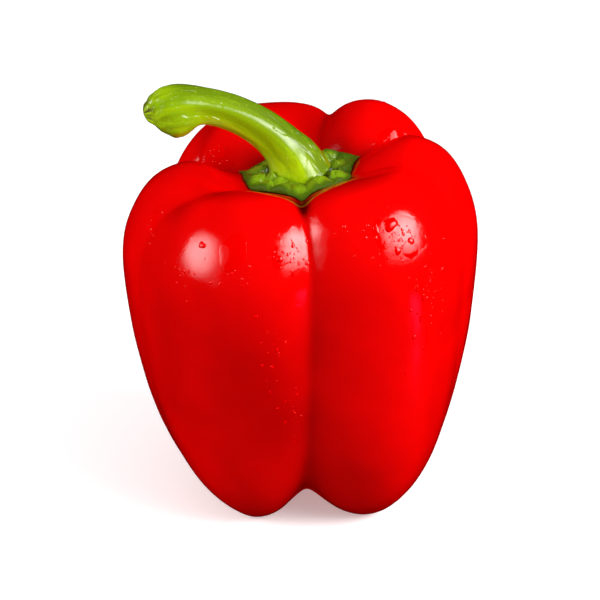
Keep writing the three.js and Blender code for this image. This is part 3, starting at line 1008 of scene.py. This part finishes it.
class PEPPER_OT_drops(bpy.types.Operator):
    """Models the drops of water on the skin"""
    bl_idname = "pepper.drops"
    bl_label = "Water drops"

    def execute(self, context):
        settings = context.scene.pepper_drops
        draw = random.Random(settings.seed)
        shape = bmesh.new()
        share, unevenness = settings.height_share, settings.unevenness
        for azimuth, place, half_width, stretch in LARGE_DROPS:
            add_drop(shape, azimuth, place, half_width, stretch, DROP_FINENESS, share, unevenness)
        for azimuth, place, spread, along, count in DROP_PATCHES:
            for _ in range(count):
                half_width = mix(settings.smallest, settings.largest, draw.random() ** 2)
                at = draw.gauss(azimuth, spread / 2), draw.gauss(place, along / 2)
                stretch = draw.uniform(*FINE_STRETCH)
                add_drop(shape, *at, half_width, stretch, FINE_FINENESS, share, unevenness)
        drops = finish_piece("water_drops", shape, water_film(context.scene.pepper_fruit))
        drops.visible_shadow = False
        return {"FINISHED"}


class PEPPER_OT_pools(bpy.types.Operator):
    """Models the shallow pools of water on the skin"""
    bl_idname = "pepper.pools"
    bl_label = "Water pools"

    def execute(self, context):
        settings = context.scene.pepper_drops
        shape = bmesh.new()
        for pool in POOLS:
            add_pool(shape, *pool, settings.pool_share, settings.unevenness)
        pools = finish_piece("water_pools", shape, water_film(context.scene.pepper_fruit))
        pools.visible_shadow = False
        return {"FINISHED"}


def add_light(name, width, height, power, bright_at, fade_to):
    """An area light, sized in metres. It is brightest at a share of its width and height, where
    its lamp stands, and is dim fade_to away from it."""
    data = bpy.data.lights.new(name, "AREA")
    data.shape = "RECTANGLE"
    data.size = width
    data.size_y = height
    data.energy = power
    data.use_nodes = True
    tree = data.node_tree
    place = add_node(tree, "NewGeometry", "Parametric", {})
    off = add_node(tree, "VectorMath", "Value", {0: place, 1: (*bright_at, 0)}, operation="DISTANCE")
    fade = add_node(tree, "MapRange", "Result", {
        "Value": off, "From Min": SOFTBOX_CORE, "From Max": fade_to,
        "To Min": SOFTBOX_BRIGHT, "To Max": SOFTBOX_DIM,
    }, interpolation_type="SMOOTHSTEP")
    tree.links.new(fade, tree.nodes["Emission"].inputs["Strength"])
    light = bpy.data.objects.new(name, data)
    bpy.context.scene.collection.objects.link(light)
    return light


def face_pepper(light, azimuth, elevation, distance, aim):
    """Stands a light at an azimuth from the front and an elevation, in degrees."""
    turn, rise = math.radians(azimuth), math.radians(elevation)
    level = math.cos(rise)
    back = Vector((math.sin(turn) * level, -math.cos(turn) * level, math.sin(rise)))
    light.location = aim + back * distance
    light.rotation_euler = (-back).to_track_quat("-Z", "Y").to_euler()


def lay_card(card, start, end, colour):
    """Lays a light face up, just above the floor, along the line between two points in mm."""
    run = Vector(end) - Vector(start)
    card.data.color = colour[:3]
    card.location = to_row((Vector(start) + Vector(end)) / 2)
    card.rotation_euler = (math.pi, 0, math.atan2(run.y, run.x))
    card.visible_camera = False


class PEPPER_OT_stage(bpy.types.Operator):
    """Sets the floor, the softboxes and the camera"""
    bl_idname = "pepper.stage"
    bl_label = "Stage"

    def execute(self, context):
        settings = context.scene.pepper_stage
        scene = context.scene
        shape = bmesh.new()
        bmesh.ops.create_grid(shape, x_segments=1, y_segments=1, size=settings.floor_size / 2)
        mesh = bpy.data.meshes.new("floor")
        shape.to_mesh(mesh)
        shape.free()
        mesh.materials.append(opal_table(settings))
        floor = bpy.data.objects.new("floor", mesh)
        scene.collection.objects.link(floor)
        # The floor neither lights the pepper nor is mirrored in its wax: light from below is the room's.
        floor.visible_glossy = False
        floor.visible_diffuse = False

        aim = to_row((0, 0, settings.aim_height))
        left = add_light("left_softbox", *LEFT_SIZE, settings.left_power, *LEFT_LAMP)
        face_pepper(left, *LEFT_STAND, SOFTBOX_DISTANCE, aim)
        right = add_light("right_softbox", *RIGHT_SIZE, settings.right_power, *RIGHT_LAMP)
        face_pepper(right, *RIGHT_STAND, SOFTBOX_DISTANCE, aim)
        card = add_light("pink_card", *CARD_SIZE, settings.card_power, *CARD_LAMP)
        lay_card(card, CARD_START, CARD_END, settings.card_colour)

        world = bpy.data.worlds.new("room")
        world.use_nodes = True
        tree = world.node_tree
        room = tree.nodes["Background"]
        # The room is bright above and dark below the table's height.
        direction = add_node(tree, "TexCoord", "Generated", {})
        rise = add_node(tree, "SeparateXYZ", "Z", {"Vector": direction})
        share = add_node(tree, "MapRange", "Result", {
            "Value": rise, "From Min": ROOM_DARK, "From Max": ROOM_BRIGHT,
        })
        low, high = settings.low_ambient, settings.ambient
        inputs = {SHARE: share, LOW: (low, low, low, 1), HIGH: (high, high, high, 1)}
        shade = add_node(tree, "Mix", MIXED, inputs, data_type="RGBA")
        tree.links.new(shade, room.inputs["Color"])
        room.inputs["Strength"].default_value = 1
        # Neither the wax nor the water mirrors the room.
        world.cycles_visibility.glossy = False
        world.cycles_visibility.transmission = False
        scene.world = world

        data = bpy.data.cameras.new("camera")
        data.lens = settings.lens
        data.sensor_width = SENSOR
        focal_pixels = FRAME_PIXELS * settings.lens / SENSOR
        distance = focal_pixels / settings.pixel_scale * MM
        rise = math.radians(settings.elevation)
        back = Vector((0, -math.cos(rise), math.sin(rise)))
        data.shift_x, data.shift_y = (shift / FRAME_PIXELS for shift in SHIFT_PIXELS)
        data.clip_start = CLIP_START
        camera = bpy.data.objects.new("camera", data)
        camera.location = aim + back * distance
        camera.rotation_euler = (-back).to_track_quat("-Z", "Y").to_euler()
        scene.collection.objects.link(camera)
        scene.camera = camera
        scene.view_settings.view_transform = "Standard"
        return {"FINISHED"}


class PEPPER_PT_panel(bpy.types.Panel):
    """Lists the pepper's pieces"""
    bl_idname = "PEPPER_PT_panel"
    bl_label = "Bell pepper"
    bl_space_type = "VIEW_3D"
    bl_region_type = "UI"
    bl_category = "Pepper"

    def draw(self, context):
        for operator in OPERATORS:
            self.layout.operator(operator.bl_idname)
        for name in SETTINGS:
            group = getattr(context.scene, name)
            box = self.layout.box()
            box.label(text=name.replace("_", " ").capitalize())
            for prop in group.bl_rna.properties:
                if not prop.is_readonly and prop.identifier != "name":
                    box.prop(group, prop.identifier)


SETTINGS = {
    "pepper_fruit": FruitSettings,
    "pepper_cap": CapSettings,
    "pepper_stem": StemSettings,
    "pepper_drops": DropSettings,
    "pepper_stage": StageSettings,
}
OPERATORS = (
    PEPPER_OT_stage, PEPPER_OT_fruit, PEPPER_OT_cap, PEPPER_OT_stem, PEPPER_OT_drops, PEPPER_OT_pools,
)


def register():
    for name, group in SETTINGS.items():
        bpy.utils.register_class(group)
        setattr(bpy.types.Scene, name, PointerProperty(type=group))
    for operator in OPERATORS:
        bpy.utils.register_class(operator)
    bpy.utils.register_class(PEPPER_PT_panel)


def unregister():
    bpy.utils.unregister_class(PEPPER_PT_panel)
    for operator in reversed(OPERATORS):
        bpy.utils.unregister_class(operator)
    for name, group in reversed(SETTINGS.items()):
        delattr(bpy.types.Scene, name)
        bpy.utils.unregister_class(group)


def main():
    register()
    bpy.ops.pepper.stage()
    bpy.ops.pepper.fruit()
    bpy.ops.pepper.cap()
    bpy.ops.pepper.stem()
    bpy.ops.pepper.drops()
    bpy.ops.pepper.pools()


if __name__ == "__main__":
    main()
